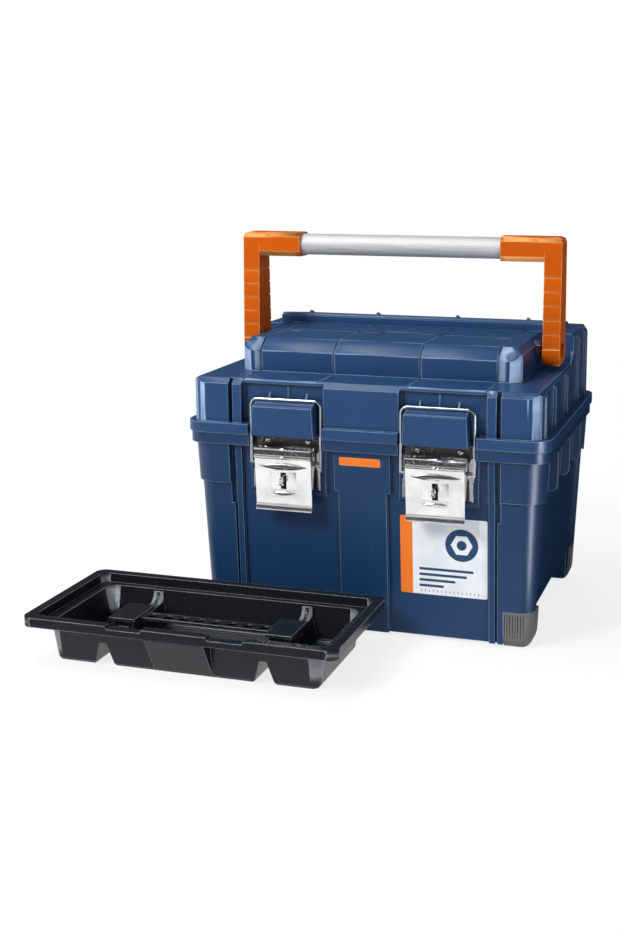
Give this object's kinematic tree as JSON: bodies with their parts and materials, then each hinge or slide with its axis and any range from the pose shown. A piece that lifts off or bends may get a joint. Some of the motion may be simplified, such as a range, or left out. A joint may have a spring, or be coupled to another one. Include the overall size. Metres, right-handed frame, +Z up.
{
  "type": "plastic tool box",
  "caption": "Drafted plastic tool box with hinged stepped lid, fold-down tube handle on orange arms, over-centre draw latches with padlock staples, corner feet and a lift-out tray.",
  "frame": {"origin": "on the floor under the middle of the box, between the four feet", "axes": "+X to the right seen from the latches, +Y from the latches to the hinge, +Z up"},
  "size_m": [0.5705, 0.5415, 0.475],
  "materials": {
    "blue_plastic": "semi-gloss moulded polypropylene",
    "grey_plastic": "matt ribbed moulded plastic",
    "orange_plastic": "semi-gloss moulded plastic",
    "black_plastic": "semi-gloss moulded plastic",
    "tube_aluminium": "brushed and clear anodised",
    "latch_chrome": "bright nickel plate on pressed steel",
    "hinge_steel": "drawn wire"
  },
  "bodies": {
    "box": {"body_shell": "blue_plastic", "foot_front_left": "grey_plastic", "foot_front_right": "grey_plastic", "foot_rear_left": "grey_plastic", "foot_rear_right": "grey_plastic", "hinge_rod_left": "hinge_steel", "hinge_rod_right": "hinge_steel", "latch_plate_left": "latch_chrome", "latch_plate_right": "latch_chrome", "latch_pin_left": "latch_chrome", "latch_pin_right": "latch_chrome", "staple_left": "latch_chrome", "staple_right": "latch_chrome", "rivet_left_a": "latch_chrome", "rivet_left_b": "latch_chrome", "rivet_right_a": "latch_chrome", "rivet_right_b": "latch_chrome"},
    "lid": {"lid_shell": "blue_plastic", "pivot_pin_left": "orange_plastic", "pivot_pin_right": "orange_plastic"},
    "handle": {"handle_arm_left": "orange_plastic", "handle_arm_right": "orange_plastic", "handle_tube": "tube_aluminium"},
    "lever_left": {"lever_left": "latch_chrome"},
    "lever_right": {"lever_right": "latch_chrome"},
    "bail_left": {"bail_left": "latch_chrome"},
    "bail_right": {"bail_right": "latch_chrome"},
    "tray": {"tray": "black_plastic"}
  },
  "joints": [
    {"name": "lid_hinge", "type": "hinge", "parent": "box", "child": "lid", "pos_m": [0, 0.1765, 0.242], "axis": [-1, 0, 0], "range_deg": [0, 105]},
    {"name": "handle_fold", "type": "hinge", "parent": "lid", "child": "handle", "pos_m": [0, 0, 0.335], "axis": [1, 0, 0], "range_deg": [0, 90]},
    {"name": "lever_left_turn", "type": "hinge", "parent": "box", "child": "lever_left", "pos_m": [-0.0935, -0.175, 0.224], "axis": [-1, 0, 0], "range_deg": [0, 115]},
    {"name": "bail_left_turn", "type": "hinge", "parent": "lever_left", "child": "bail_left", "pos_m": [-0.0935, -0.17096, 0.20925], "axis": [-1, 0, 0], "range_deg": [-150, 0]},
    {"name": "lever_right_turn", "type": "hinge", "parent": "box", "child": "lever_right", "pos_m": [0.0935, -0.175, 0.224], "axis": [-1, 0, 0], "range_deg": [0, 115]},
    {"name": "bail_right_turn", "type": "hinge", "parent": "lever_right", "child": "bail_right", "pos_m": [0.0935, -0.17096, 0.20925], "axis": [-1, 0, 0], "range_deg": [-150, 0]},
    {"name": "tray_lift", "type": "slide", "parent": "box", "child": "tray", "axis": [0, 0, 1], "range_m": [0, 0.08]}
  ],
  "couplings": [
    {"joint": "bail_left_turn", "follows": "lever_left_turn", "ratio": -1.3},
    {"joint": "bail_right_turn", "follows": "lever_right_turn", "ratio": -1.3}
  ]
}
